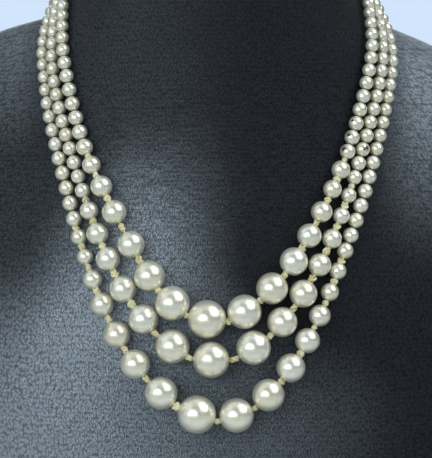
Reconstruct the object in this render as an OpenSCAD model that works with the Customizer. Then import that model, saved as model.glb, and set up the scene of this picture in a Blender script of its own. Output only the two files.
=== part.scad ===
// Three-strand necklace of graduated imitation pearls, on a plain neck bust.
// The front faces -Y, +Z is up, and the origin is the middle of the bust's base.
// Left and right are those of someone looking at the front: left is -X.

/* [Pearls] */
// Diameters of the centre pearls: inner, middle and outer strand
centre_pearl_d = [12, 11.4, 12]; // [8:0.1:14]
// Diameters where the small pearls begin: inner, middle and outer strand
small_pearl_d = [4.7, 4.4, 4.6]; // [4.2:0.1:5.5]
// Diameters of the pearls at the back: inner, middle and outer strand
back_pearl_d = [4.0, 4.0, 4.0]; // [3.6:0.1:4.2]
// Slack between two small pearls that have no knot: inner, middle and outer strand
slack = [0.15, 0.4, 0.55]; // [0.15:0.05:0.6]
// Radius of the drill hole through each pearl
drill_r = 0.5; // [0.4:0.05:0.7]

/* [Thread] */
// Radius of the thread
thread_r = 0.3; // [0.15:0.05:0.35]
// Radius of a knot
knot_r = 0.8; // [0.5:0.05:1]
// Length of a knot, where its gap has room for it
knot_length = 2.2; // [1:0.1:3]

/* [Bust] */
// Height of the bust
bust_h = 266; // [256:1:300]
// Rounding of the rim at the top of the neck
top_rounding = 5; // [2:0.5:8]
// Rounding of the edge at the base
base_rounding = 3; // [1:0.5:5]
// How sharply the neck meets the shoulders
crease = 12; // [6:1:14]
// Faces round the bust
bust_sides = 72; // [48:4:96]

/* [Clasp] */
// Size of the clasp: across, thickness, height
clasp_size = [9, 3.6, 15]; // [3:0.1:18]
// Rounding of the clasp's corners
clasp_rounding = 2; // [1:0.1:3]
// Depth of each thread hole in the clasp
clasp_hole_depth = 1.6; // [1:0.1:2.5]

/* [Hidden] */
LEFT = 0;
RIGHT = 1;
STRANDS = ["inner", "middle", "outer"];
SIDES = ["left", "right"];

// Pearls on each side of the centre that are nodes of their own
large_count = 6;
// Pearls on each side over which the small pearls shrink to the size at the back
taper_count = 9;

// Diameters of the graduated pearls, a row for each, from the centre outwards
// inner left, inner right, middle left, middle right, outer left, outer right
graduated_d = [
    [11.0, 10.8, 10.8, 10.8, 10.3, 10.8],
    [9.8, 10.0, 9.5, 9.5, 9.4, 10.2],
    [8.6, 8.9, 8.6, 8.8, 8.5, 9.1],
    [7.8, 7.7, 7.7, 7.3, 7.5, 7.9],
    [6.9, 6.8, 7.0, 6.3, 6.2, 6.9],
    [5.9, 5.9, 5.9, 5.4, 5.3, 5.8],
    [5.3, 5.4, 4.7, 4.5, 4.8, 5.0],
    [4.8, 4.8, 4.4, 4.4, 4.7, 4.8]];

// Gap on the inward side of each graduated pearl, in the same columns
knot_gap = [
    [0.9, 1.3, 2.2, 3.3, 2.0, 1.7],
    [0.8, 1.0, 2.4, 2.0, 2.3, 1.5],
    [2.4, 1.5, 2.5, 2.0, 2.0, 1.4],
    [3.4, 1.3, 2.5, 2.5, 2.7, 1.5],
    [2.0, 1.4, 1.5, 2.5, 1.7, 1.4],
    [1.4, 1.8, 1.5, 2.2, 1.9, 1.8],
    [0.7, 1.3, 1.6, 2.2, 1.6, 1.8],
    [0.2, 1.3, 0.3, 1.7, 1.3, 2.0]];

// Angle from the front at which each strand's centre pearl hangs, to the right
centre_angle = [-3.8, -2.4, -7.8];

// Height of each strand round the bust, by the angle from the front
// angle, inner, middle, outer
left_line = [
    [0, 90, 76.5, 60.3],
    [10, 92.3, 79.5, 62.5],
    [20, 98, 84.8, 68],
    [30, 110.5, 93.5, 77],
    [40, 126.5, 109, 92.2],
    [50, 144.4, 131, 116],
    [55, 157, 143.8, 131],
    [60, 172, 156.6, 145],
    [65, 184, 170.6, 158.2],
    [70, 191.5, 183, 171.5],
    [80, 202, 195, 187],
    [90, 210, 203.5, 196.5],
    [110, 221, 215, 209],
    [140, 230.5, 224.5, 219],
    [180, 233.5, 228, 222.5]];
right_line = [
    [0, 90, 76.5, 60.3],
    [10, 92.5, 80, 61.5],
    [20, 99, 85.3, 67.5],
    [30, 108.3, 94.5, 77.6],
    [40, 123, 108.8, 94],
    [50, 141.5, 128.8, 117],
    [55, 153.8, 141.5, 129.3],
    [60, 167, 154, 142.3],
    [65, 179, 166, 154.5],
    [70, 189.5, 177, 166],
    [80, 200.5, 193, 183],
    [90, 209, 202.5, 195],
    [110, 221, 215, 208.5],
    [140, 230.5, 224.5, 219],
    [180, 233.5, 228, 222.5]];

// Neck of the bust, which widens down into the chest
// height, half width, front depth, back depth
neck_rows = [
    [0, 84, 41, 36],
    [60, 82, 42, 36],
    [100, 78, 41.5, 36],
    [130, 71, 41, 36],
    [155, 64.5, 41, 35],
    [175, 59, 42, 34],
    [186, 54, 43, 34],
    [196, 49.5, 44, 34],
    [210, 47.5, 44, 34],
    [262, 47.5, 44, 34]];

// Torso and shoulders of the bust
// height, half width left, half width right, set back, half depth
torso_rows = [
    [0, 78, 78, -1, 35],
    [40, 86, 86, -1, 36.5],
    [80, 93, 93, 0, 37],
    [120, 97, 97, 3, 34.5],
    [150, 97, 97, 7.5, 29.5],
    [165, 95, 93, 9.5, 25.5],
    [175, 90, 85, 10.5, 21.5],
    [181, 84, 75, 10, 18],
    [186, 74, 62, 8.5, 14.5],
    [190, 56, 46, 6, 10],
    [193, 20, 20, 2, 4]];

// Rise of a pearl's centre line off the bust: a share of its radius, and a fixed gap
lift_share = 1.06;
lift_gap = 0.25;
// Length of a drill beyond its pearl
drill_overrun = 2;
// Gaps over this hold a knot, which leaves a little of the gap free
knotted_over = 0.6;
knot_margin = 0.1;
// Share of a knot's half length at which it is full
knot_full_at = 0.55;
// Step for finding the surface's direction, and tries at a pearl's place
probe = 0.4;
tries = 4;
// Room between the clasp and the last pearl, and between the clasp's hole and its thread
clasp_clearance = 0.6;
thread_clearance = 0.2;
// Turn between two rings of the bust's rounded edges
edge_step = 30;
// Corners round the thread
thread_sides = 6;
$fn = 32;

function unit(v) = v / norm(v);

// Smooth curve through the rows of a table, in its first column

function row_slope(rows, i) =
    let (a = max(i - 1, 0), b = min(i + 1, len(rows) - 1))
    (rows[b] - rows[a]) / (rows[b][0] - rows[a][0]);

function curve(rows) = [
    rows,
    [for (i = [0:len(rows) - 1]) row_slope(rows, i)],
    [for (i = [0:len(rows) - 1]) [rows[i][0], i]]];

function along(c, x) =
    let (
        place = lookup(x, c[2]),
        i = min(floor(place), len(c[0]) - 2),
        u = place - i,
        h = c[0][i + 1][0] - c[0][i][0])
    c[0][i] * (2 * u * u * u - 3 * u * u + 1)
    + c[1][i] * h * (u * u * u - 2 * u * u + u)
    + c[0][i + 1] * (3 * u * u - 2 * u * u * u)
    + c[1][i + 1] * h * (u * u * u - u * u);

neck_curve = curve(neck_rows);
torso_curve = curve(torso_rows);
torso_top = torso_rows[len(torso_rows) - 1][0];
mirrored_left = [
    for (i = [len(left_line) - 1:-1:1])
        [-left_line[i][0], left_line[i][1], left_line[i][2], left_line[i][3]]];
line_curve = curve(concat(mirrored_left, right_line));

// Surface of the bust, by the angle from the front and the height

// Distance from the bust's axis to an oval that is set back by b
function oval_r(a, w, d, b = 0) =
    let (
        p = pow(sin(a) / w, 2) + pow(cos(a) / d, 2),
        q = cos(a) * b / (d * d))
    (sqrt(q * q + p * (1 - pow(b / d, 2))) - q) / p;

function bust_r(a, z) =
    let (
        n = along(neck_curve, z),
        t = along(torso_curve, min(z, torso_top)),
        neck = oval_r(a, n[1], cos(a) > 0 ? n[2] : n[3]),
        torso = oval_r(a, sin(a) < 0 ? t[1] : t[2], t[4], t[3]))
    z < torso_top ? pow(pow(neck, crease) + pow(torso, crease), 1 / crease) : neck;

function bust_point(a, z) =
    let (r = bust_r(a, z))
    [r * sin(a), -r * cos(a), z];

function bust_normal(a, z) =
    let (
        across = bust_point(a + probe, z) - bust_point(a - probe, z),
        up = bust_point(a, z + probe) - bust_point(a, z - probe))
    unit(cross(across, up));

// A point on a strand's line, risen off the bust
function line_point(s, a, lift) =
    let (z = along(line_curve, a)[s + 1])
    bust_point(a, z) + bust_normal(a, z) * lift;

// Sizes and gaps of the pearls, counted outwards from the centre pearl, which is number 0

function pearl_d(s, side, i) =
    let (after = i - len(graduated_d) - 1)
    i == 0 ? centre_pearl_d[s]
    : after < 0 ? graduated_d[i - 1][2 * s + side]
    : small_pearl_d[s] + (back_pearl_d[s] - small_pearl_d[s]) * min(after / taper_count, 1);

function gap_before(s, side, i) = i > len(knot_gap) ? slack[s] : knot_gap[i - 1][2 * s + side];

function lift(s, side, i) =
    lift_gap + lift_share * (pearl_d(s, side, i) + pearl_d(s, side, i + 1)) / 4;

// The angle, found in a few tries, at which a strand's line is a given distance from a point
function step_angle(s, from, a, guess, distance, rise, tries_left) =
    tries_left == 0 ? guess
    : step_angle(
        s, from, a, a + (guess - a) * distance / norm(line_point(s, guess, rise) - from),
        distance, rise, tries_left - 1);

// Pearls of one side from number i on
// Each is [hole's inner end, its outer end, diameter, gap before it, gap after it]
function pearls(s, side, i, a, from) =
    let (
        d = pearl_d(s, side, i),
        before = i == 0 ? gap_before(s, LEFT, 1) : gap_before(s, side, i),
        after = gap_before(s, side, i + 1),
        pitch = d + before / 2 + after / 2,
        rise = lift(s, side, i),
        turn = side == LEFT ? -1 : 1,
        b = step_angle(s, from, a, a + turn * pitch, pitch, rise, tries),
        to = line_point(s, b, rise))
    abs(b) > clasp_angle ? []
    : concat([[from, to, d, before, after]], pearls(s, side, i + 1, b, to));

// The clasp lies flat on the back of the neck, with its middle at the middle strand
function clasp_height(s) = along(line_curve, 180)[s + 1];
clasp_z = clasp_height(1);
clasp_back = bust_point(180, clasp_z)[1];
clasp_y = clasp_back + lift_gap + clasp_size[1] / 2;
clasp_angle = 180 - atan((clasp_size[0] / 2 + clasp_clearance) / clasp_back);

// Each strand as its left and its right pearls, from the centre outwards
strands = [
    for (s = [0:2])
        let (
            d = centre_pearl_d[s],
            middle = line_point(s, centre_angle[s], lift_gap + lift_share * d / 2),
            half = d / 2 + gap_before(s, LEFT, 1) / 2,
            rise = lift(s, LEFT, 0),
            hang = centre_angle[s],
            a = step_angle(s, middle, hang, hang - half, half, rise, tries),
            start = line_point(s, a, rise))
        [pearls(s, LEFT, 1, a, start), pearls(s, RIGHT, 0, a, start)]];

// Moves the children to a point, with their +Z along a direction
module aim(point, direction) {
    length = norm(direction);
    translate(point)
        rotate([0, acos(direction[2] / length), atan2(direction[1], direction[0])])
            children();
}

// A pearl drilled along its thread
module pearl(row) {
    direction = unit(row[1] - row[0]);
    centre = row[0] + direction * (row[2] + row[3]) / 2;
    color([0.91, 0.88, 0.79])
        aim(centre, direction)
            difference() {
                sphere(d = row[2]);
                cylinder(r = drill_r, h = row[2] + drill_overrun, center = true);
            }
}

// The place in a side's list of the pearl with a number; the centre pearl is in the right one
function place(side, i) = side == LEFT ? i - 1 : i;

module large_pearl(s, side, i) {
    pearl(strands[s][side][place(side, i)]);
}

// The pearls of one side beyond the large ones
module small_pearls(s, side) {
    row = strands[s][side];
    for (i = [place(side, large_count + 1):len(row) - 1])
        pearl(row[i]);
}

// Ends of the thread: inside the clasp, on its left and on its right
function clasp_end(s, turn) = [
    turn * (clasp_size[0] / 2 - clasp_hole_depth + thread_clearance), clasp_y, clasp_height(s)];
function clasp_mouth(s, turn) = [
    turn * (clasp_size[0] / 2 + thread_clearance), clasp_y, clasp_height(s)];

// Joints of a thread from its left end to its right end, each as [point, gap]
function joints(s) =
    let (left = strands[s][LEFT], right = strands[s][RIGHT])
    concat(
        [[clasp_end(s, -1), 0], [clasp_mouth(s, -1), 0]],
        [for (i = [len(left) - 1:-1:0]) [left[i][1], left[i][4]]],
        [for (i = [0:len(right) - 1]) [right[i][0], right[i][3]]],
        [[right[len(right) - 1][1], 0]],
        [[clasp_mouth(s, 1), 0], [clasp_end(s, 1), 0]]);

// Direction of a thread from joint number i to the next
function heading(list, i) =
    let (from = max(min(i, len(list) - 2), 0))
    unit(list[from + 1][0] - list[from][0]);

// Rings of a thread, each as [middle, direction, radius]
// A knot takes four, and its ends lie on the lines of the two drill holes beside it
function rings(list) = [
    for (i = [0:len(list) - 1])
        let (
            point = list[i][0],
            before = heading(list, i - 1),
            after = heading(list, i),
            direction = unit(before + after),
            gap = list[i][1],
            half = min(knot_length, gap - knot_margin) / 2)
        each gap > knotted_over
            ? [
                [point - before * half, before, thread_r],
                [point - before * half * knot_full_at, direction, knot_r],
                [point + after * half * knot_full_at, direction, knot_r],
                [point + after * half, after, thread_r]]
            : [[point, direction, thread_r]]];

// The corners of a ring, the first of them on its outer side from the bust's axis
function ring_points(ring) =
    let (
        out = [ring[0][0], ring[0][1], 0],
        side = unit(cross(ring[1], out)),
        top = cross(side, ring[1]))
    [for (k = [0:thread_sides - 1])
        let (a = 360 * k / thread_sides)
        ring[0] + ring[2] * (top * cos(a) + side * sin(a))];

// A closed solid through rings of equal corner counts, flat at both ends
module loft(ring_list) {
    n = len(ring_list[0]);
    last = len(ring_list) - 1;
    walls = [
        for (i = [0:last - 1], k = [0:n - 1])
            let (
                a = i * n + k,
                b = i * n + (k + 1) % n)
            each [[a, b + n, b], [a, a + n, b + n]]];
    polyhedron(
        points = [for (ring = ring_list) each ring],
        faces = concat(
            walls,
            [[for (k = [0:n - 1]) k]],
            [[for (k = [n - 1:-1:0]) last * n + k]]));
}

module thread(s) {
    color([0.90, 0.84, 0.62])
        loft([for (ring = rings(joints(s))) ring_points(ring)]);
}

module clasp() {
    w = clasp_size[0];
    h = clasp_size[2];
    r = clasp_rounding;
    color([0.80, 0.66, 0.36])
        difference() {
            translate([0, clasp_y + clasp_size[1] / 2, clasp_z])
                rotate([90, 0, 0])
                    linear_extrude(height = clasp_size[1])
                        union() {
                            square([w - 2 * r, h], center = true);
                            square([w, h - 2 * r], center = true);
                            for (x = [-1, 1], y = [-1, 1])
                                translate([x * (w / 2 - r), y * (h / 2 - r)])
                                    circle(r = r);
                        }
            for (s = [0:2], turn = [-1, 1])
                translate([turn * w / 2, clasp_y, clasp_height(s)])
                    rotate([0, 90, 0])
                        cylinder(r = drill_r, h = 2 * clasp_hole_depth, center = true);
        }
}

// Heights of the bust's rings, closest together at the shoulders
// from, step, to
ring_rows = [
    [base_rounding, 12, 135],
    [140, 5, 165],
    [168, 2.5, 203],
    [208, 12, 250]];

// A level ring of the bust, drawn in by an inset
function bust_ring(z, at, inset) = [
    for (k = [0:bust_sides - 1])
        let (
            a = 360 * k / bust_sides - 180,
            r = bust_r(a, at) - inset)
        [r * sin(a), -r * cos(a), z]];

module neck_bust() {
    base = [
        for (t = [0:edge_step:90 - edge_step])
            bust_ring(base_rounding * (1 - cos(t)), base_rounding, base_rounding * (1 - sin(t)))];
    rim = [
        for (t = [0:edge_step:90])
            bust_ring(
                bust_h - top_rounding * (1 - sin(t)), bust_h - top_rounding,
                top_rounding * (1 - cos(t)))];
    color([0.11, 0.12, 0.15])
        loft(concat(
            base,
            [for (row = ring_rows, z = [row[0]:row[1]:row[2]]) bust_ring(z, z, 0)],
            rim));
}

// Names of the pearls that are nodes of their own, as [name, strand, side, number]
large_pearls = [
    for (s = [0:2], side = [LEFT, RIGHT], i = [0:large_count])
        if (i > 0)
            [str(STRANDS[s], "_pearl_", SIDES[side], "_", i), s, side, i]
        else if (side == RIGHT)
            [str(STRANDS[s], "_pearl_centre"), s, side, i]];

neck_bust();
clasp();
for (s = [0:2])
    thread(s);
for (s = [0:2], side = [LEFT, RIGHT])
    small_pearls(s, side);
for (p = large_pearls)
    large_pearl(p[1], p[2], p[3]);
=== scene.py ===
# Three strands of graduated imitation pearls on a black leatherette neck bust
import math
import random

import bpy
from mathutils import Matrix, Vector


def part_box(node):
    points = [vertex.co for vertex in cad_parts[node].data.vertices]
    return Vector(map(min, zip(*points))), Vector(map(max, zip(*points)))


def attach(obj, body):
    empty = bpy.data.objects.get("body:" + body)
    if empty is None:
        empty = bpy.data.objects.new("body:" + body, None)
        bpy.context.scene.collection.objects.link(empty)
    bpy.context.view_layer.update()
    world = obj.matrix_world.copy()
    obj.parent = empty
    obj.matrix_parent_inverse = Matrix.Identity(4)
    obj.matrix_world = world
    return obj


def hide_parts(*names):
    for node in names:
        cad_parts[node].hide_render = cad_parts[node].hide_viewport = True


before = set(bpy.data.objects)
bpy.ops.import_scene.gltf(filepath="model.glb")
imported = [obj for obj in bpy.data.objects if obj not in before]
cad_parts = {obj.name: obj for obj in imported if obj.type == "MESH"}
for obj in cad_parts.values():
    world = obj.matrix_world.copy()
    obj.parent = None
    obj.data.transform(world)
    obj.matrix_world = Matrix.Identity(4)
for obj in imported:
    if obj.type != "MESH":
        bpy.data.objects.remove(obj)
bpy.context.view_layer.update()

random.seed(11)
MM = 0.001
STRANDS = ("inner", "middle", "outer")
SIDES = ("left", "right")
# Large pearls on each side of a strand's centre pearl
LARGE_COUNT = 6

# Camera, level and straight at the front, at the photograph's distance
PHOTO_WIDTH_PX = 432
FOCAL_PX = 2275
SENSOR_MM = 36
CAMERA_PLACE = Vector((0.0003, -0.752, 0.120))

bpy.ops.object.camera_add(location=CAMERA_PLACE, rotation=(math.pi / 2, 0, 0))
camera = bpy.context.object
camera.name = "camera"
camera.data.sensor_fit = "HORIZONTAL"
camera.data.sensor_width = SENSOR_MM
camera.data.lens = SENSOR_MM * FOCAL_PX / PHOTO_WIDTH_PX
bpy.context.scene.camera = camera
bpy.context.scene.view_settings.view_transform = "Standard"


# Selecting and shaping by hand

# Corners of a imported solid's loose triangles that are this close are one corner
WELD = 0.002 * MM


def pick(*pieces):
    """Selects these pieces alone, the first of them active."""
    bpy.ops.object.select_all(action="DESELECT")
    for piece in pieces:
        piece.select_set(True)
    bpy.context.view_layer.objects.active = pieces[0]


def choose(piece, kind, test):
    """Opens a piece for editing with only the elements selected that pass a test."""
    pick(piece)
    bpy.ops.object.mode_set(mode="EDIT")
    bpy.ops.mesh.select_mode(type=kind)
    bpy.ops.mesh.select_all(action="DESELECT")
    bpy.ops.object.mode_set(mode="OBJECT")
    mesh = piece.data
    elements = {"VERT": mesh.vertices, "EDGE": mesh.edges}[kind]
    for element in elements:
        element.select = test(element)
    bpy.ops.object.mode_set(mode="EDIT")


def choose_all(piece):
    """Opens a piece for editing with all of it selected."""
    pick(piece)
    bpy.ops.object.mode_set(mode="EDIT")
    bpy.ops.mesh.select_all(action="SELECT")


def put_in_scene(name, data):
    """A new object in the scene for a mesh or a curve."""
    piece = bpy.data.objects.new(name, data)
    bpy.context.scene.collection.objects.link(piece)
    return piece


def merged_copy(node_name, name):
    """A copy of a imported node's mesh as a piece of its own, its loose triangles merged."""
    piece = put_in_scene(name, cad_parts[node_name].data.copy())
    piece.data.materials.clear()
    choose_all(piece)
    bpy.ops.mesh.remove_doubles(threshold=WELD)
    bpy.ops.object.mode_set(mode="OBJECT")
    return piece


def finish_piece(piece, name, material, replaced):
    """Names a piece, gives it its finish, and sets it on the part for the node it stands for."""
    piece.name = name
    piece.data.name = name
    piece.data.materials.clear()
    piece.data.materials.append(material)
    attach(piece, "root")
    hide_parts(replaced)


# Shader maths

class Link:
    """A node's output. Sums and products of links and numbers add Math nodes."""

    def __init__(self, tree, socket):
        self.tree = tree
        self.socket = socket

    def math(self, operation, *values):
        return node(self.tree, "ShaderNodeMath", {"operation": operation}, dict(enumerate(values)))

    def __add__(self, other):
        return self.math("ADD", self, other)

    def __radd__(self, other):
        return self.math("ADD", other, self)

    def __sub__(self, other):
        return self.math("SUBTRACT", self, other)

    def __rsub__(self, other):
        return self.math("SUBTRACT", other, self)

    def __mul__(self, other):
        return self.math("MULTIPLY", self, other)

    def __rmul__(self, other):
        return self.math("MULTIPLY", other, self)

    def __neg__(self):
        return self.math("MULTIPLY", self, -1)

    def __abs__(self):
        return self.math("ABSOLUTE", self)

    def larger(self, other):
        return self.math("MAXIMUM", self, other)

    def smaller(self, other):
        return self.math("MINIMUM", self, other)

    def angle_from(self, other):
        """The angle, in radians, whose tangent is this link over the other."""
        return self.math("ARCTAN2", self, other)


def node(tree, kind, settings=None, inputs=None, output=0):
    """Adds a node, sets its settings first and then its inputs, and gives an output."""
    made = tree.nodes.new(kind)
    for name, value in (settings or {}).items():
        setattr(made, name, value)
    for name, value in (inputs or {}).items():
        if isinstance(value, Link):
            tree.links.new(value.socket, made.inputs[name])
        else:
            made.inputs[name].default_value = value
    return Link(tree, made.outputs[output]) if made.outputs else None


def clear_material(name):
    """A new material and its emptied tree."""
    material = bpy.data.materials.new(name)
    material.use_nodes = True
    material.node_tree.nodes.clear()
    return material, material.node_tree


def surface(tree, sockets):
    """The material's surface: a Principled shader with these sockets."""
    shader = node(tree, "ShaderNodeBsdfPrincipled", None, sockets)
    node(tree, "ShaderNodeOutputMaterial", None, {"Surface": shader})


def object_place(tree):
    """The place on the part, in metres."""
    return node(tree, "ShaderNodeTexCoord", None, None, "Object")


def attribute(tree, name):
    """A number kept on a piece's own points."""
    return node(tree, "ShaderNodeAttribute", {"attribute_name": name}, None, "Fac")


def noise(place, scale, detail, roughness=0.5):
    """Soft random variation over a place, from 0 to 1."""
    return node(
        place.tree, "ShaderNodeTexNoise", None,
        {"Vector": place, "Scale": scale, "Detail": detail, "Roughness": roughness})


def stretched(place, scale):
    """A place with its three axes scaled."""
    return node(place.tree, "ShaderNodeMapping", None, {"Vector": place, "Scale": scale})


def between(value, low, high, to_low=0.0, to_high=1.0):
    """A smooth step from to_low, at low, to to_high, at high."""
    return node(
        value.tree, "ShaderNodeMapRange", {"interpolation_type": "SMOOTHSTEP"},
        {"Value": value, "From Min": low, "From Max": high, "To Min": to_low, "To Max": to_high})


# The numbers of a Mix node's colour sockets
MIX_FACTOR, MIX_A, MIX_B, MIX_RESULT = 0, 6, 7, 2


def blend(factor, a, b):
    """A colour between two colours."""
    return node(
        factor.tree, "ShaderNodeMix", {"data_type": "RGBA"},
        {MIX_FACTOR: factor, MIX_A: a, MIX_B: b}, MIX_RESULT)


def bump(height, distance, strength):
    """A normal from a height."""
    return node(
        height.tree, "ShaderNodeBump", None,
        {"Height": height, "Distance": distance, "Strength": strength})


# Pearl lacquer

PEARL_WARM = (0.82, 0.752, 0.58, 1)
PEARL_PALE = (0.86, 0.812, 0.70, 1)
BEAD_CORE = (0.42, 0.33, 0.20, 1)
CHIPPED = (0.035, 0.032, 0.035, 1)
# From the warm to the pale tone
TONE_LIMITS = (0.25, 0.85)
# From whole lacquer to worn, and how ragged the edge of the wear is
WORN_LIMITS = (0.55, 0.95)
WORN_RAGGED = 0.5
# How ragged a chip's edge is, and how far out it is whole, beside its radius
CHIP_RAGGED = 2.4
CHIP_WHOLE = 0.6


def make_pearl(chips):
    """Pearls with a broad soft sheen under a sharp coat, worn at the drill holes and chipped."""
    material, tree = clear_material("pearl_lacquer")
    place = object_place(tree)
    tone = attribute(tree, "tone")
    rim = attribute(tree, "rim")
    cloud = noise(place, scale=260, detail=3)
    fine = noise(place, scale=2600, detail=2)
    colour = blend(between(cloud + tone, *TONE_LIMITS), PEARL_WARM, PEARL_PALE)
    worn = between(rim + (fine - 0.5) * WORN_RAGGED, *WORN_LIMITS)
    colour = blend(worn, colour, BEAD_CORE)
    for point, reach in chips:
        away = node(tree, "ShaderNodeVectorMath", {"operation": "DISTANCE"},
                    {0: place, 1: point}, "Value")
        chip = between(away + (fine - 0.5) * reach * CHIP_RAGGED, reach, reach * CHIP_WHOLE)
        colour = blend(chip, colour, CHIPPED)
        worn = worn.larger(chip)
    surface(tree, {
        "Base Color": colour,
        "Roughness": 0.28 + worn * 0.25,
        "Metallic": 0.58,
        "IOR": 1.6,
        "Coat Weight": 1.0 - worn * 0.8,
        "Coat Roughness": 0.12,
        "Coat IOR": 1.5,
        "Normal": bump(cloud, distance=0.01 * MM, strength=0.4)})
    return material


# Silk thread

SILK_FRESH = (0.90, 0.82, 0.54, 1)
SILK_YELLOWED = (0.70, 0.58, 0.28, 1)
YELLOWED_LIMITS = (0.45, 0.95)


def make_silk():
    """Waxed silk, yellowed in places, with fine fibres."""
    material, tree = clear_material("silk_thread")
    place = object_place(tree)
    fibre = noise(place, scale=9000, detail=3, roughness=0.7)
    age = noise(place, scale=400, detail=2)
    yellowed = between(age + fibre * 0.4, *YELLOWED_LIMITS)
    surface(tree, {
        "Base Color": blend(yellowed, SILK_FRESH, SILK_YELLOWED),
        "Roughness": 0.32 + fibre * 0.3,
        "Sheen Weight": 0.3,
        "Normal": bump(fibre, distance=0.03 * MM, strength=0.7)})
    return material


# Leatherette, with its places on the bust in metres

# Plain black, and the painted sheen that stands in for reflected light, each from the bottom of the
# grain to its top; the lighter tops are partly painted highlight on the crests
LEATHER_DARK = ((0.0005, 0.0007, 0.0012, 1), (0.0200, 0.0206, 0.0300, 1))
LEATHER_PAINTED_SHEEN = ((0.163, 0.178, 0.200, 1), (0.358, 0.392, 0.440, 1))

# How far the edges of the painted sheen on the front wander
PAINTED_SHEEN_WANDER = 0.02
# The low part of the chest, from the height where it begins to the height where it is fully low
PAINTED_SHEEN_LOW = (0.110, 0.060)
# The painted sheen's top edge: it rises from left to right between these places, and is this soft
PAINTED_SHEEN_TOP_ACROSS = (-0.072, -0.022)
PAINTED_SHEEN_TOP_HEIGHTS = (0.078, 0.1275)
PAINTED_SHEEN_TOP_SOFT = (-0.034, 0.030)
# Painted sheen left above the top edge
PAINTED_SHEEN_LEAST = 0.07
# Where across the painted sheen has faded out and where it is full, and how much further each is
# low down
PAINTED_SHEEN_FADED, PAINTED_SHEEN_FADED_LOW = 0.013, 0.060
PAINTED_SHEEN_FULL, PAINTED_SHEEN_FULL_LOW = -0.030, -0.070
# From the back to the front of the chest
PAINTED_SHEEN_DEPTHS = (0.030, -0.010)
# The painted sheen on the shoulders: outwards from the neck, upwards, lower on the right, and how
# strong
SHOULDER_ACROSS = (0.046, 0.066)
SHOULDER_HEIGHTS = (0.114, 0.206)
SHOULDER_TILT = 0.20
SHOULDER_PAINTED_SHEEN = 0.85
# How much of the painted sheen the bottom of the grain gets, and how much more its top
PAINTED_SHEEN_IN_GRAIN, PAINTED_SHEEN_ON_GRAIN = 0.64, 0.72

# The grain's fine noise, drawn upright, and the pebbles, laid round the bust
GRAIN_DRAWN = (1, 1, 0.42)
GRAIN_SCALE = 6000
PEBBLE_SCALE = 1400
PEBBLE_SPREAD = 0.7
PEBBLE_DEPTH = 0.33
# The cover's distance from the bust's axis, then how its pebbles are squeezed across and upright
SKIN_RADIUS = 0.06
SKIN_ACROSS, SKIN_UPRIGHT = 1.2, 0.50
# How the rows of pebbles sway
SWAY_DRAWN = (1, 1, 0.5)
SWAY_SCALE = 420
SWAY_ACROSS, SWAY_UPRIGHT = 0.0018, 0.0005
# Level creases where the chest meets the neck: the heights where they start and end
CREASE_STARTS = (0.100, 0.130)
CREASE_ENDS = (0.190, 0.150)
CREASE_DEPTH = 0.34
CREASE_DRAWN = (0.12, 0.12, 1)
CREASE_SCALE = 2200
# The heights taken as the bottom and the top of the grain
GRAIN_HEIGHTS = (0.21, 0.55)


# Painted sheen: a paler, more metallic patch that stands in for light reflected off the leatherette
def painted_sheen_mask(place, across, depth, height):
    """Where the leatherette gets painted sheen, a paler metallic patch for reflected light: low on
    the left of its front, and on the shoulders.
    """
    wander = (noise(place, scale=30, detail=3) - 0.5) * PAINTED_SHEEN_WANDER
    low = between(height, *PAINTED_SHEEN_LOW)
    top = between(across, *PAINTED_SHEEN_TOP_ACROSS, *PAINTED_SHEEN_TOP_HEIGHTS)
    rising = between(top - height + wander, *PAINTED_SHEEN_TOP_SOFT, PAINTED_SHEEN_LEAST, 1.0)
    fading = between(across + wander, low * PAINTED_SHEEN_FADED_LOW + PAINTED_SHEEN_FADED,
                     low * PAINTED_SHEEN_FULL_LOW + PAINTED_SHEEN_FULL)
    facing = between(depth, *PAINTED_SHEEN_DEPTHS)
    shoulders = (between(abs(across), *SHOULDER_ACROSS)
                 * between(height + across * SHOULDER_TILT, *SHOULDER_HEIGHTS) * SHOULDER_PAINTED_SHEEN)
    return (rising * fading * facing).larger(shoulders)


def leather_grain(place, across, depth, height):
    """The height of the grain, from 0 to 1: pebbles, creased where the chest meets the neck."""
    round_axis = across.angle_from(-depth) * SKIN_RADIUS
    sway = noise(stretched(place, SWAY_DRAWN), SWAY_SCALE, detail=2)
    skin = node(place.tree, "ShaderNodeCombineXYZ", None,
                {"X": round_axis * SKIN_ACROSS + sway * SWAY_ACROSS,
                 "Y": height * SKIN_UPRIGHT + sway * SWAY_UPRIGHT})
    pebble = node(place.tree, "ShaderNodeTexVoronoi", {"feature": "F1", "voronoi_dimensions": "2D"},
                  {"Vector": skin, "Scale": PEBBLE_SCALE, "Randomness": PEBBLE_SPREAD}, "Distance")
    creased = between(height, *CREASE_STARTS, 0.0, CREASE_DEPTH) * between(height, *CREASE_ENDS)
    crease = noise(stretched(place, CREASE_DRAWN), CREASE_SCALE, detail=1) - 0.5
    fine = noise(stretched(place, GRAIN_DRAWN), GRAIN_SCALE, detail=1)
    return between(fine - pebble * PEBBLE_DEPTH + crease * creased, *GRAIN_HEIGHTS)


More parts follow.
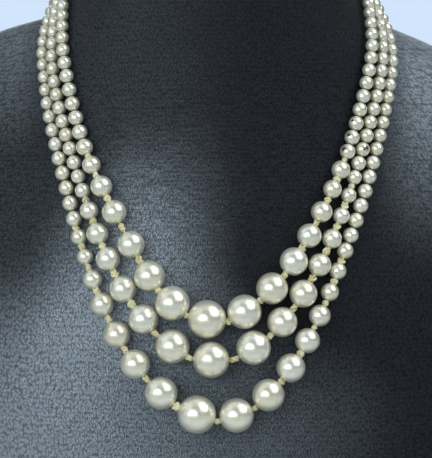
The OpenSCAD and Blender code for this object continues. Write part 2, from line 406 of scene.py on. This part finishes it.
def make_leatherette():
    """Black leatherette with a pebbled grain, and painted sheen: paler and metallic where light is
    reflected low on the left of the front and on the shoulders.
    """
    material, tree = clear_material("leatherette")
    place = object_place(tree)
    across, depth, height = (
        node(tree, "ShaderNodeSeparateXYZ", None, {"Vector": place}, axis) for axis in "XYZ")
    grain = leather_grain(place, across, depth, height)
    # Painted sheen: paler colour and more metal where reflected light falls on the front and
    # shoulders
    painted_sheen = (painted_sheen_mask(place, across, depth, height)
              * (PAINTED_SHEEN_IN_GRAIN + grain * PAINTED_SHEEN_ON_GRAIN)).smaller(1.0)
    # The grain's tops are lighter: partly the grain's own colour, partly painted highlight where
    # the crests catch light
    dark = blend(grain * grain, *LEATHER_DARK)
    pale = blend(grain, *LEATHER_PAINTED_SHEEN)
    surface(tree, {
        "Base Color": blend(painted_sheen, dark, pale),
        "Metallic": painted_sheen * 0.7,
        "Roughness": 0.46 - grain * 0.08,
        "Specular IOR Level": 0.18,
        "Normal": bump(grain, distance=0.08 * MM, strength=0.8)})
    return material


# Clasp metal

GILT_BRIGHT = (0.86, 0.66, 0.30, 1)
GILT_BROWN = (0.50, 0.34, 0.13, 1)
DULL_LIMITS = (0.50, 0.75)
# The scratches run upright
SCRATCH_DRAWN = (1, 1, 0.06)


def make_gilt():
    """Gold-toned metal, dulled in places, with fine scratches."""
    material, tree = clear_material("gilt_metal")
    place = object_place(tree)
    scratch = noise(stretched(place, SCRATCH_DRAWN), scale=6000, detail=2)
    dull = noise(place, scale=500, detail=3)
    surface(tree, {
        "Base Color": blend(between(dull, *DULL_LIMITS), GILT_BRIGHT, GILT_BROWN),
        "Metallic": 1.0,
        "Roughness": 0.22 + dull * 0.2 + scratch * 0.08,
        "Normal": bump(scratch, distance=0.01 * MM, strength=0.5)})
    return material


# Where the pearls are, from the drilled solids of the part

# An edge along a bore is longer than this share of its pearl
BORE_SHARE = 0.8
# The small pearls sit close on the thread. Each grows by this share at most, and keeps this far
# from the middle of the gap to its neighbour
FILL_MOST = 0.11
FILL_MARGIN = 0.05 * MM


class Pearl:
    """A drilled pearl's two hole ends, which lie on its sphere."""

    def __init__(self, solid):
        points = [v.co for v in solid.data.vertices]
        reach = max(solid.dimensions)
        walls = [e.vertices[:] for e in solid.data.edges
                 if (points[e.vertices[0]] - points[e.vertices[1]]).length > BORE_SHARE * reach]
        ends = [points[i] for i in sorted({i for wall in walls for i in wall})]
        first = ends[0].copy()
        near = [p for p in ends if (p - first).length < reach / 2]
        far = [p for p in ends if (p - first).length >= reach / 2]
        self.start = sum(near, Vector()) / len(near)
        self.end = sum(far, Vector()) / len(far)
        self.middle = (self.start + self.end) / 2
        self.radius = max((p - self.middle).length for p in points)

    def widen(self, width):
        """Makes the pearl this much larger all round."""
        along = (self.end - self.start).normalized()
        self.start -= along * width
        self.end += along * width
        self.radius += width

    def turn_from(self, point):
        """Makes the hole end nearest to a point the start."""
        if (self.end - point).length < (self.start - point).length:
            self.start, self.end = self.end, self.start


def read_pearls(node_name):
    """The pearls of a node, one for each loose solid."""
    choose_all(merged_copy(node_name, "solids"))
    bpy.ops.mesh.separate(type="LOOSE")
    bpy.ops.object.mode_set(mode="OBJECT")
    solids = list(bpy.context.selected_objects)
    found = [Pearl(solid) for solid in solids]
    for solid in solids:
        bpy.data.objects.remove(solid)
    return found


def in_order(pearls, start):
    """Pearls of a run, each the nearest to the one before it."""
    left_over = list(pearls)
    ordered = []
    while left_over:
        pearl = min(left_over, key=lambda p: (p.middle - start).length)
        left_over.remove(pearl)
        ordered.append(pearl)
        start = pearl.middle
    return ordered


class Strand:
    """A strand's large pearls by node, its small ones by side, and all of them left to right."""

    def __init__(self, name):
        centre = f"{name}_pearl_centre"
        beside = {side: [f"{name}_pearl_{side}_{i}" for i in range(1, LARGE_COUNT + 1)]
                  for side in SIDES}
        self.large = {node_name: read_pearls(node_name)[0]
                      for node_name in (*beside["left"], *beside["right"], centre)}
        self.small = {}
        self.row = [self.large[centre]]
        for side in SIDES:
            outward = [self.large[node_name] for node_name in beside[side]]
            self.small[side] = in_order(read_pearls(f"{name}_small_{side}"), outward[-1].middle)
            outward += self.small[side]
            self.row = [*reversed(outward), *self.row] if side == "left" else self.row + outward
        for before, pearl in zip(self.row, self.row[1:]):
            pearl.turn_from(before.middle)
        self.row[0].turn_from(self.row[0].middle * 2 - self.row[1].middle)
        self.fill_gaps()

    def fill_gaps(self):
        """Widens the small pearls into the room on each side of them."""
        small = [*self.small["left"], *self.small["right"]]
        gaps = [(after.start - before.end).length for before, after in zip(self.row, self.row[1:])]
        gaps = [gaps[0], *gaps, gaps[-1]]
        for i, pearl in enumerate(self.row):
            if pearl in small:
                room = min(gaps[i], gaps[i + 1]) / 2 - FILL_MARGIN
                pearl.widen(max(0.0, min(room, FILL_MOST * pearl.radius)))


strands = {name: Strand(name) for name in STRANDS}


# Pearls, modelled once at a radius of 1 m and copied to each place

# Points closer in height than this lie on one ring, and than this on one rim
SAME_RING = 0.001
SAME_RIM = 0.0001
# The wear at a drill hole ends this many hole radii from the pearl's axis, and fades over this many
WORN_TO = 2.2
WORN_FADE = 1.2
# How far a pearl's tone may be from the middle one
TONE_SPREAD = 0.22
# Faces that meet at less than this are shaded as one
PEARL_SMOOTH = math.radians(50)


def make_master(name, segments, rings, hole, bevel_width=0.0, bevel_segments=0):
    """A sphere drilled from pole to pole. Its attribute rim is 1 at the holes and 0 elsewhere."""
    bpy.ops.object.select_all(action="DESELECT")
    bpy.ops.mesh.primitive_uv_sphere_add(segments=segments, ring_count=rings, radius=1)
    master = bpy.context.object
    master.name = name
    mesh = master.data
    first_ring = math.cos(math.pi / rings)
    choose(master, "VERT", lambda v: abs(v.co.z) > (1 + first_ring) / 2)
    bpy.ops.mesh.delete(type="VERT")
    bpy.ops.object.mode_set(mode="OBJECT")
    widen = hole / math.sin(math.pi / rings)
    hole_height = math.sqrt(1 - hole * hole)
    for side in (-1, 1):
        choose(master, "VERT", lambda v: v.co.z * side > first_ring - SAME_RING)
        bpy.ops.transform.resize(value=(widen, widen, 1))
        bpy.ops.transform.translate(value=(0, 0, side * (hole_height - first_ring)))
        bpy.ops.object.mode_set(mode="OBJECT")
    bpy.ops.object.mode_set(mode="EDIT")
    bpy.ops.mesh.select_mode(type="EDGE")
    bpy.ops.mesh.select_all(action="DESELECT")
    bpy.ops.mesh.select_non_manifold()
    bpy.ops.mesh.bridge_edge_loops()
    bpy.ops.mesh.select_all(action="SELECT")
    bpy.ops.mesh.normals_make_consistent(inside=False)
    bpy.ops.object.mode_set(mode="OBJECT")
    if bevel_segments:
        heights = [v.co.z for v in mesh.vertices]
        choose(master, "EDGE", lambda e: all(
            abs(abs(heights[i]) - hole_height) < SAME_RIM for i in e.vertices)
            and heights[e.vertices[0]] * heights[e.vertices[1]] > 0)
        bpy.ops.mesh.bevel(offset=bevel_width, segments=bevel_segments)
        bpy.ops.object.mode_set(mode="OBJECT")
    mesh.attributes.new("tone", "FLOAT", "POINT")
    mesh.attributes.new("rim", "FLOAT", "POINT")
    away = [math.hypot(*vertex.co.xy) for vertex in mesh.vertices]
    mesh.attributes["rim"].data.foreach_set(
        "value", [max(0.0, min(1.0, (WORN_TO * hole - r) / (WORN_FADE * hole))) for r in away])
    bpy.ops.object.shade_smooth_by_angle(angle=PEARL_SMOOTH)
    return master


def put_pearl(master, pearl):
    """A copy of the master on a pearl's place, turned at random about its thread."""
    piece = put_in_scene("pearl", master.data.copy())
    turn = (pearl.end - pearl.start).to_track_quat("Z", "Y").to_matrix().to_4x4()
    spin = Matrix.Rotation(random.uniform(0, math.tau), 4, "Z")
    piece.data.transform(
        Matrix.Translation(pearl.middle) @ turn @ spin @ Matrix.Scale(pearl.radius, 4))
    tone = random.uniform(-TONE_SPREAD, TONE_SPREAD)
    piece.data.attributes["tone"].data.foreach_set("value", [tone] * len(piece.data.vertices))
    return piece


# Chips that show in the photo: strand, place in its right run of small pearls,
# then how far right, how far up and how wide, beside the pearl's radius
CHIPS = (
    ("inner", 1, -0.55, 0.34, 0.42),
    ("inner", 2, -0.52, 0.36, 0.34),
    ("inner", 3, -0.52, 0.38, 0.24),
    ("middle", 3, 0.50, 0.20, 0.46))


def chip_place(strand, i, right, up, reach):
    """The point on the front of a small pearl where a chip is, and the chip's radius."""
    pearl = strands[strand].small["right"][i]
    forward = math.sqrt(1 - right * right - up * up)
    return pearl.middle + Vector((right, -forward, up)) * pearl.radius, reach * pearl.radius


lacquer = make_pearl([chip_place(*chip) for chip in CHIPS])
large_master = make_master(
    "large_master", segments=32, rings=30, hole=0.12, bevel_width=0.02, bevel_segments=2)
small_master = make_master("small_master", segments=16, rings=10, hole=0.20)
for name, strand in strands.items():
    for node_name, pearl in strand.large.items():
        finish_piece(put_pearl(large_master, pearl), node_name.replace("pearl", "round_pearl"),
                     lacquer, node_name)
    for side, run in strand.small.items():
        pick(*[put_pearl(small_master, pearl) for pearl in run])
        bpy.ops.object.join()
        finish_piece(bpy.context.object, f"{name}_small_pearls_{side}",
                     lacquer, f"{name}_small_{side}")
for master in (large_master, small_master):
    bpy.data.objects.remove(master)


# Threads, each two plies twisted together, with a tight overhand knot in each open gap

PLY_RADIUS = 0.38 * MM
# Half the distance between the plies' middles
PLY_OFFSET = 0.27 * MM
PLY_CORNERS = 12
# The length of one full turn of the twist
TWIST_LENGTH = 1.5 * MM
TWIST_STEPS = 9
# A straight stretch longer than this is hidden in a pearl, and takes no steps
INSIDE_PEARL = 3.4 * MM
# The thread's thickness beside that of the knots
THIN = 0.45
# How far outside the clasp the thread turns towards it
CLASP_CLEAR = 0.2 * MM
# Only a gap wider than this has a knot
KNOTTED_OVER = 0.6 * MM
# A knot leaves this much of its gap free, and is this long at most
KNOT_MARGIN = 0.15 * MM
KNOT_LENGTH = 2.2 * MM
# The unit of length of a knot's points, then its width without room and what room adds to it
KNOT_UNIT = 0.88 * MM
KNOT_NARROW, KNOT_ROOMY = 0.80, 0.20
# How far a knot may be narrower or wider
KNOT_WIDTHS = (0.92, 1.04)
# One half of an overhand knot, in knot units: along, across, depth
KNOT_HALF = (
    (-1.90, 0.00, 0.05),
    (-1.20, 0.10, 0.42),
    (-0.10, -0.55, -0.40),
    (0.85, -0.95, 0.00),
    (1.42, -0.35, 0.45),
    (0.95, 0.45, 0.45))
KNOT_TOP = (0.0, 0.95, 0.0)
# Half a knot's length, in knot units, and the steps between two of its points
KNOT_ENDS = 2.0
KNOT_STEPS = 7


def smooth_path(points, steps):
    """Points on a curve that passes through the given ones."""
    made = []
    for i in range(len(points) - 1):
        a, b = points[max(i - 1, 0)], points[i]
        c, d = points[i + 1], points[min(i + 2, len(points) - 1)]
        for k in range(steps):
            t = k / steps
            made.append(0.5 * (
                2 * b + (c - a) * t + (2 * a - 5 * b + 4 * c - d) * t ** 2
                + (3 * b - a - 3 * c + d) * t ** 3))
    return made + [points[-1]]


def knot_path(middle, before, after, gap):
    """An overhand knot in a gap, fitted between the two pearls."""
    room = min(gap - KNOT_MARGIN, KNOT_LENGTH)
    squeeze = room / (2 * KNOT_ENDS * KNOT_UNIT)
    width = KNOT_NARROW + KNOT_ROOMY * min(squeeze, 1)
    across_scale = KNOT_UNIT * width * random.uniform(*KNOT_WIDTHS)
    along = (before + after).normalized()
    turn = along.to_track_quat("X", "Z").to_matrix() @ Matrix.Rotation(
        random.uniform(0, math.tau), 3, "X")
    mirror = [(-x, y, -z) for x, y, z in reversed(KNOT_HALF)]
    body = [Vector((x * squeeze, y, z)) for x, y, z in (*KNOT_HALF, KNOT_TOP, *mirror)]
    points = [middle + turn @ Vector((p.x * KNOT_UNIT, p.y * across_scale, p.z * across_scale))
              for p in body]
    path = smooth_path([middle - before * room / 2, *points, middle + after * room / 2], KNOT_STEPS)
    return [(point, 1.0) for point in path]


def thread_ends(strand, clasp_low, clasp_high):
    """Middles of the thread's two ends, inside the clasp."""
    inside = [v.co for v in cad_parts[f"{strand}_thread"].data.vertices
              if clasp_low.y < v.co.y < clasp_high.y and clasp_low.x < v.co.x < clasp_high.x]
    left = [p for p in inside if p.x < 0]
    right = [p for p in inside if p.x > 0]
    return sum(left, Vector()) / len(left), sum(right, Vector()) / len(right)


def thread_route(strand):
    """The thread's middle line and thickness, from one end in the clasp to the other."""
    clasp_low, clasp_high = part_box("clasp")
    left, right = thread_ends(strand, clasp_low, clasp_high)
    row = strands[strand].row
    mouth = Vector((clasp_low.x - CLASP_CLEAR, left.y, left.z))
    route = [(left, THIN), (mouth, THIN), (row[0].start, THIN)]
    for here, there in zip(row, row[1:]):
        gap = (there.start - here.end).length
        middle = (here.end + there.start) / 2
        crossing = [(middle, THIN)]
        if gap > KNOTTED_OVER:
            before = (here.end - here.start).normalized()
            after = (there.end - there.start).normalized()
            crossing = knot_path(middle, before, after, gap)
        route += [(here.end, THIN), *crossing, (there.start, THIN)]
    mouth = Vector((clasp_high.x + CLASP_CLEAR, right.y, right.z))
    return route + [(row[-1].end, THIN), (mouth, THIN), (right, THIN)]


def twisted(route):
    """The route with a step for each part of a turn, the twist and the thickness at each step."""
    step = TWIST_LENGTH / TWIST_STEPS
    points = [route[0][0]]
    turns = [0.0]
    widths = [route[0][1]]
    for (a, a_width), (b, b_width) in zip(route, route[1:]):
        length = (b - a).length
        if length < step / 4:
            continue
        count = max(1, round(length / step))
        if length > INSIDE_PEARL:
            count = 1
        for k in range(1, count + 1):
            points.append(a.lerp(b, k / count))
            widths.append(a_width + (b_width - a_width) * k / count)
            turns.append(turns[-1] + math.tau * min(length, INSIDE_PEARL) / count / TWIST_LENGTH)
    return points, turns, widths


def ply_outline():
    """The outline of two plies side by side, as a closed curve."""
    curve = bpy.data.curves.new("plies", "CURVE")
    curve.dimensions = "2D"
    spline = curve.splines.new("POLY")
    spline.points.add(PLY_CORNERS - 1)
    spline.use_cyclic_u = True
    for i, point in enumerate(spline.points):
        a = math.tau * i / PLY_CORNERS
        reach = PLY_OFFSET * abs(math.cos(a)) + math.sqrt(
            PLY_RADIUS ** 2 - (PLY_OFFSET * math.sin(a)) ** 2)
        point.co = (reach * math.cos(a), reach * math.sin(a), 0, 1)
    return put_in_scene("plies", curve)


def make_thread(strand, outline):
    """A strand's thread: the outline of its plies swept along its route, turning as it goes."""
    curve = bpy.data.curves.new("thread", "CURVE")
    curve.dimensions = "3D"
    curve.twist_mode = "MINIMUM"
    curve.bevel_mode = "OBJECT"
    curve.bevel_object = outline
    curve.use_fill_caps = True
    points, turns, widths = twisted(thread_route(strand))
    spline = curve.splines.new("POLY")
    spline.points.add(len(points) - 1)
    for target, point, turn, width in zip(spline.points, points, turns, widths):
        target.co = (*point, 1)
        target.tilt = turn
        target.radius = width
    pick(put_in_scene("thread", curve))
    bpy.ops.object.convert(target="MESH")
    piece = bpy.context.object
    choose_all(piece)
    bpy.ops.mesh.normals_make_consistent(inside=False)
    bpy.ops.object.mode_set(mode="OBJECT")
    bpy.ops.object.shade_smooth()
    return piece


silk = make_silk()
outline = ply_outline()
for strand in STRANDS:
    finish_piece(make_thread(strand, outline), f"{strand}_silk", silk,
                 f"{strand}_thread")
bpy.data.objects.remove(outline)


# Bust, smoothed from the part's own form

# Triangles that differ by less than this become one four-sided face
QUAD_ANGLE = math.radians(60)
BUST_LEVELS = 2


def make_bust():
    """The part's bust with its facets made smooth."""
    piece = merged_copy("neck_bust", "bust")
    choose_all(piece)
    bpy.ops.mesh.tris_convert_to_quads(face_threshold=QUAD_ANGLE, shape_threshold=QUAD_ANGLE)
    bpy.ops.object.mode_set(mode="OBJECT")
    smooth = piece.modifiers.new("smooth", "SUBSURF")
    smooth.levels = smooth.render_levels = BUST_LEVELS
    bpy.ops.object.modifier_apply(modifier="smooth")
    bpy.ops.object.shade_smooth()
    return piece


finish_piece(make_bust(), "covered_bust", make_leatherette(), "neck_bust")


# Clasp, with softened edges

# Edges sharper than this are rounded
CLASP_SHARP = math.radians(50)
CLASP_EDGE = 0.3 * MM
CLASP_STEPS = 3
# Faces that meet at less than this are shaded as one
CLASP_SMOOTH = math.radians(35)


def make_clasp():
    """The part's clasp with its edges and the rims of its holes rounded."""
    piece = merged_copy("clasp", "bar_clasp")
    soften = piece.modifiers.new("soften", "BEVEL")
    soften.width = CLASP_EDGE
    soften.segments = CLASP_STEPS
    soften.limit_method = "ANGLE"
    soften.angle_limit = CLASP_SHARP
    bpy.ops.object.modifier_apply(modifier="soften")
    bpy.ops.object.shade_smooth_by_angle(angle=CLASP_SMOOTH)
    return piece


finish_piece(make_clasp(), "bar_clasp", make_gilt(), "clasp")


# Pale floor

FLOOR_RADIUS = 1.3
FLOOR_COLOUR = (0.525, 0.54, 0.545, 1)

bpy.ops.object.select_all(action="DESELECT")
bpy.ops.mesh.primitive_circle_add(vertices=128, radius=FLOOR_RADIUS, fill_type="NGON")
floor = bpy.context.object
floor.name = "floor"
pale_floor, floor_tree = clear_material("pale_floor")
surface(floor_tree, {"Base Color": FLOOR_COLOUR, "Roughness": 0.7})
floor.data.materials.append(pale_floor)


# Soft studio light

DAYLIGHT = (0.87, 0.96, 1.00)
LIT_POINT = Vector((0, -0.03, 0.12))
LIGHT_DISTANCE = 1.6

# Oval lights, by where they stand as seen from the pearls and the angle they fill:
# name, degrees to the right, degrees up, half width, half height, radiance, colour
OVAL_LIGHTS = (
    ("window_left", -25, 1, 28, 29, 2.72, (0.80, 0.945, 1.00)),
    ("wall_left", -65, 0, 24, 20, 0.60, DAYLIGHT),
    ("window_right", 60, 45, 24, 28, 2.80, (0.84, 0.955, 1.00)),
    ("wall_right", 36, 27, 14, 14, 0.80, DAYLIGHT),
    ("ceiling_left", -70, 42, 24, 22, 0.80, DAYLIGHT),
    ("ceiling", 0, 80, 25, 25, 0.50, DAYLIGHT),
    ("wall_behind", 180, 35, 26, 20, 1.60, DAYLIGHT))

# A pale card close to the bust throws light up at it
CARD_PLACE = Vector((-0.03, -0.10, 0.01))
CARD_AIM = Vector((-0.03, -0.10, 0.20))
CARD_SIZE = (0.22, 0.07)
CARD_RADIANCE = 0.32


def add_light(name, place, away, shape, size, power, colour):
    """A soft light that the camera doesn't see. It shines the other way from a direction."""
    bpy.ops.object.light_add(type="AREA", location=place)
    light = bpy.context.object
    light.name = name
    light.rotation_euler = away.to_track_quat("Z", "Y").to_euler()
    light.data.shape = shape
    light.data.size, light.data.size_y = size
    light.data.energy = power
    light.data.color = colour
    light.visible_camera = False


def add_oval_light(name, azimuth, elevation, half_width, half_height, radiance, colour):
    """An oval light that fills a given angle as seen from the pearls."""
    azimuth, elevation = math.radians(azimuth), math.radians(elevation)
    wide = 2 * LIGHT_DISTANCE * math.tan(math.radians(half_width))
    high = 2 * LIGHT_DISTANCE * math.tan(math.radians(half_height))
    level = math.cos(elevation)
    direction = Vector((
        math.sin(azimuth) * level, -math.cos(azimuth) * level, math.sin(elevation)))
    power = radiance * math.pi * math.pi / 4 * wide * high
    add_light(name, LIT_POINT + direction * LIGHT_DISTANCE, direction, "ELLIPSE", (wide, high),
              power, colour)


for oval_light in OVAL_LIGHTS:
    add_oval_light(*oval_light)
card_power = CARD_RADIANCE * math.pi * CARD_SIZE[0] * CARD_SIZE[1]
add_light("card_low", CARD_PLACE, CARD_PLACE - CARD_AIM, "RECTANGLE", CARD_SIZE, card_power,
          DAYLIGHT)


# Room

BACKDROP_COLOUR = (0.637, 0.783, 0.973, 1)
ROOM_COLOUR = (0.91, 0.94, 0.97, 1)
ROOM_STRENGTH = 0.13


def make_room():
    """A pale backdrop, and a dim light from all round."""
    world = bpy.data.worlds.new("pale_room")
    bpy.context.scene.world = world
    world.use_nodes = True
    tree = world.node_tree
    tree.nodes.clear()
    seen = node(tree, "ShaderNodeLightPath")
    backdrop = node(tree, "ShaderNodeBackground", None, {"Color": BACKDROP_COLOUR})
    ambient = node(tree, "ShaderNodeBackground", None,
                   {"Color": ROOM_COLOUR, "Strength": ROOM_STRENGTH})
    mixed = node(tree, "ShaderNodeMixShader", None, {0: seen, 1: ambient, 2: backdrop})
    node(tree, "ShaderNodeOutputWorld", None, {"Surface": mixed})


make_room()
